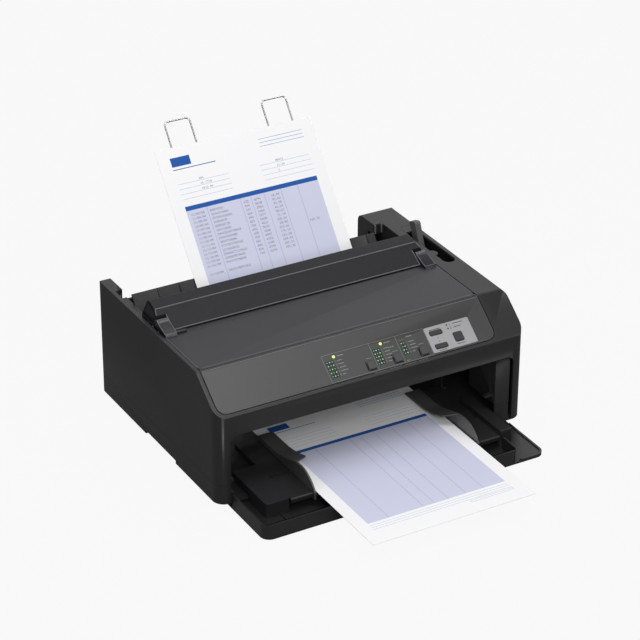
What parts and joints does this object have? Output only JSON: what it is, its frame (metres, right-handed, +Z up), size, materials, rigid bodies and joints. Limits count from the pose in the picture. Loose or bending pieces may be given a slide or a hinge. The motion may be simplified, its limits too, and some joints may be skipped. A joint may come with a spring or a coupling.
{
  "type": "dot matrix printer",
  "caption": "Wide desktop dot matrix printer with a sloping control panel, smoked hinged cover, rear sheet feed with wire supports, front feed table with edge guides and a low tray.",
  "frame": {"origin": "middle of the whole object in plan, at the bottom of the feet", "axes": "+X to the right seen from the front, +Y towards the rear, +Z up"},
  "size_m": [0.428, 0.5474, 0.311],
  "materials": {
    "case_plastic": "fine grained charcoal plastic",
    "panel_plastic": "satin mid grey plastic",
    "plate_silver": "satin silver grey",
    "key_grey": "satin grey plastic",
    "key_dark": "satin dark plastic",
    "lamp": "clear amber",
    "board": "coated board",
    "cover_plastic": "smoked, soft gloss",
    "bar_plastic": "coarse texture",
    "inner_plastic": "matt black plastic",
    "wire_steel": "plated wire",
    "frame_steel": "zinc plated sheet",
    "shaft_steel": "ground steel",
    "platen_rubber": "ground rubber",
    "gear_plastic": "natural gear plastic",
    "brass": "turned brass",
    "motor_can": "plated can",
    "head_metal": "cast and anodised",
    "belt_rubber": "moulded rubber",
    "lever_blue": "satin blue plastic",
    "paper": "uncoated paper",
    "screw_steel": "plated"
  },
  "bodies": {
    "case": {"lower_case": "case_plastic", "upper_case": "case_plastic", "feet": "belt_rubber", "case_screws": "screw_steel", "control_panel": "panel_plastic", "key_plate": "plate_silver", "indicator_lights": "lamp", "panel_board": "board", "feed_motor": "motor_can", "tractor_rail": "shaft_steel", "side_frame_left": "frame_steel", "side_frame_right": "frame_steel", "guide_shaft": "shaft_steel", "front_rail": "frame_steel", "drive_belt": "belt_rubber", "carriage_motor": "motor_can", "paper_pan": "frame_steel", "circuit_board": "board", "power_supply": "motor_can", "rear_ports": "motor_can", "power_inlet": "inner_plastic", "front_tray": "case_plastic", "sheet_table": "case_plastic", "rear_sheet": "paper", "front_sheet": "paper"},
    "printer_cover": {"printer_cover": "cover_plastic"},
    "rear_cover": {"rear_cover": "bar_plastic", "rear_cover_pins": "wire_steel"},
    "paper_guide": {"paper_guide": "case_plastic"},
    "wire_left": {"wire_support_left": "wire_steel"},
    "wire_right": {"wire_support_right": "wire_steel"},
    "release_lever": {"release_lever": "case_plastic"},
    "thickness_lever": {"thickness_lever": "lever_blue"},
    "platen": {"platen": "platen_rubber", "platen_shaft": "shaft_steel", "platen_knob": "case_plastic", "platen_gear": "gear_plastic"},
    "idler_gear": {"idler_gear": "gear_plastic"},
    "motor_pinion": {"motor_pinion": "brass"},
    "transfer_gear": {"transfer_gear": "gear_plastic"},
    "tractor_drive": {"tractor_gear": "gear_plastic", "tractor_shaft": "shaft_steel"},
    "tractor_left": {"tractor_left": "inner_plastic"},
    "tractor_right": {"tractor_right": "inner_plastic"},
    "carriage": {"carriage": "inner_plastic", "print_head": "head_metal"},
    "drive_pulley": {"drive_pulley": "brass"},
    "idler_pulley": {"idler_pulley": "gear_plastic"},
    "cartridge": {"ribbon_cartridge": "inner_plastic", "ribbon": "inner_plastic"},
    "ribbon_knob": {"ribbon_knob": "inner_plastic"},
    "rollers": {"pressure_rollers": "platen_rubber"},
    "guide_left": {"edge_guide_left": "case_plastic"},
    "guide_right": {"edge_guide_right": "case_plastic"},
    "key_left": {"key_left": "key_grey"},
    "key_middle": {"key_middle": "key_grey"},
    "key_right": {"key_right": "key_grey"},
    "key_feed": {"key_feed": "key_dark"},
    "key_load": {"key_load": "key_dark"},
    "key_pause": {"key_pause": "key_dark"}
  },
  "joints": [
    {"name": "rear_cover_lift", "type": "hinge", "parent": "case", "child": "rear_cover", "pos_m": [-0.024, 0.0888, 0.149], "axis": [-1, 0, 0], "range_deg": [0, 40]},
    {"name": "printer_cover_lift", "type": "hinge", "parent": "rear_cover", "child": "printer_cover", "pos_m": [-0.024, 0.0583, 0.165], "axis": [-1, 0, 0], "range_deg": [0, 95]},
    {"name": "paper_guide_tilt", "type": "hinge", "parent": "case", "child": "paper_guide", "pos_m": [-0.024, 0.1111, 0.10882], "axis": [-1, 0, 0], "range_deg": [0, 30]},
    {"name": "wire_left_fold", "type": "hinge", "parent": "paper_guide", "child": "wire_left", "pos_m": [-0.069, 0.14779, 0.14996], "axis": [-1, 0, 0], "range_deg": [0, 15]},
    {"name": "wire_right_fold", "type": "hinge", "parent": "paper_guide", "child": "wire_right", "pos_m": [0.065, 0.14779, 0.14996], "axis": [-1, 0, 0], "range_deg": [0, 15]},
    {"name": "release_lever_swing", "type": "hinge", "parent": "case", "child": "release_lever", "pos_m": [0.185, 0.0958, 0.108], "axis": [1, 0, 0], "range_deg": [0, 66]},
    {"name": "thickness_lever_swing", "type": "hinge", "parent": "case", "child": "thickness_lever", "pos_m": [0.138, 0.0138, 0.114], "axis": [-1, 0, 0], "range_deg": [0, 40]},
    {"name": "platen_turn", "type": "hinge", "parent": "case", "child": "platen", "pos_m": [-0.007, 0.0808, 0.092], "axis": [1, 0, 0], "continuous": true},
    {"name": "idler_turn", "type": "hinge", "parent": "case", "child": "idler_gear", "pos_m": [0.149, 0.0782, 0.06236], "axis": [1, 0, 0], "continuous": true},
    {"name": "pinion_turn", "type": "hinge", "parent": "case", "child": "motor_pinion", "pos_m": [0.149, 0.09019, 0.05038], "axis": [1, 0, 0], "continuous": true},
    {"name": "transfer_turn", "type": "hinge", "parent": "case", "child": "transfer_gear", "pos_m": [0.149, 0.11354, 0.08384], "axis": [1, 0, 0], "continuous": true},
    {"name": "tractor_turn", "type": "hinge", "parent": "case", "child": "tractor_drive", "pos_m": [0.149, 0.14521, 0.08942], "axis": [1, 0, 0], "continuous": true},
    {"name": "rollers_turn", "type": "hinge", "parent": "case", "child": "rollers", "pos_m": [-0.007, 0.08565, 0.07389], "axis": [1, 0, 0], "continuous": true},
    {"name": "tractor_left_slide", "type": "slide", "parent": "case", "child": "tractor_left", "axis": [1, 0, 0], "range_m": [-0.05, 0.08]},
    {"name": "tractor_right_slide", "type": "slide", "parent": "case", "child": "tractor_right", "axis": [1, 0, 0], "range_m": [-0.08, 0.015]},
    {"name": "carriage_slide", "type": "slide", "parent": "case", "child": "carriage", "axis": [1, 0, 0], "range_m": [-0.08, 0.08]},
    {"name": "drive_pulley_turn", "type": "hinge", "parent": "case", "child": "drive_pulley", "pos_m": [-0.175, 0.0178, 0.054], "axis": [0, 0, 1], "range_deg": [-700, 700]},
    {"name": "idler_pulley_turn", "type": "hinge", "parent": "case", "child": "idler_pulley", "pos_m": [0.129, 0.0178, 0.054], "axis": [0, 0, 1], "range_deg": [-700, 700]},
    {"name": "ribbon_lift", "type": "slide", "parent": "case", "child": "cartridge", "axis": [0, 0, 1], "range_m": [0, 0.015]},
    {"name": "ribbon_knob_turn", "type": "hinge", "parent": "cartridge", "child": "ribbon_knob", "pos_m": [0.0955, 0.0033, 0.135], "axis": [0, 0, 1], "continuous": true},
    {"name": "guide_left_slide", "type": "slide", "parent": "case", "child": "guide_left", "axis": [1, 0, 0], "range_m": [-0.02, 0]},
    {"name": "guide_right_slide", "type": "slide", "parent": "case", "child": "guide_right", "axis": [1, 0, 0], "range_m": [0, 0.028]},
    {"name": "key_left_press", "type": "slide", "parent": "case", "child": "key_left", "axis": [0, 0.6129, -0.7902], "range_m": [0, 0.001], "stiffness_N_per_m": 400},
    {"name": "key_middle_press", "type": "slide", "parent": "case", "child": "key_middle", "axis": [0, 0.6129, -0.7902], "range_m": [0, 0.001], "stiffness_N_per_m": 400},
    {"name": "key_right_press", "type": "slide", "parent": "case", "child": "key_right", "axis": [0, 0.6129, -0.7902], "range_m": [0, 0.001], "stiffness_N_per_m": 400},
    {"name": "key_feed_press", "type": "slide", "parent": "case", "child": "key_feed", "axis": [0, 0.6129, -0.7902], "range_m": [0, 0.001], "stiffness_N_per_m": 400},
    {"name": "key_load_press", "type": "slide", "parent": "case", "child": "key_load", "axis": [0, 0.6129, -0.7902], "range_m": [0, 0.001], "stiffness_N_per_m": 400},
    {"name": "key_pause_press", "type": "slide", "parent": "case", "child": "key_pause", "axis": [0, 0.6129, -0.7902], "range_m": [0, 0.001], "stiffness_N_per_m": 400}
  ],
  "couplings": [
    {"joint": "idler_turn", "follows": "platen_turn", "ratio": -1.4667},
    {"joint": "pinion_turn", "follows": "platen_turn", "ratio": 3.6667},
    {"joint": "transfer_turn", "follows": "platen_turn", "ratio": -1.1},
    {"joint": "tractor_turn", "follows": "platen_turn", "ratio": 1.1},
    {"joint": "rollers_turn", "follows": "platen_turn", "ratio": -2.7},
    {"joint": "drive_pulley_turn", "follows": "carriage_slide", "rad_per_m": -149.25},
    {"joint": "idler_pulley_turn", "follows": "carriage_slide", "rad_per_m": -149.25}
  ]
}
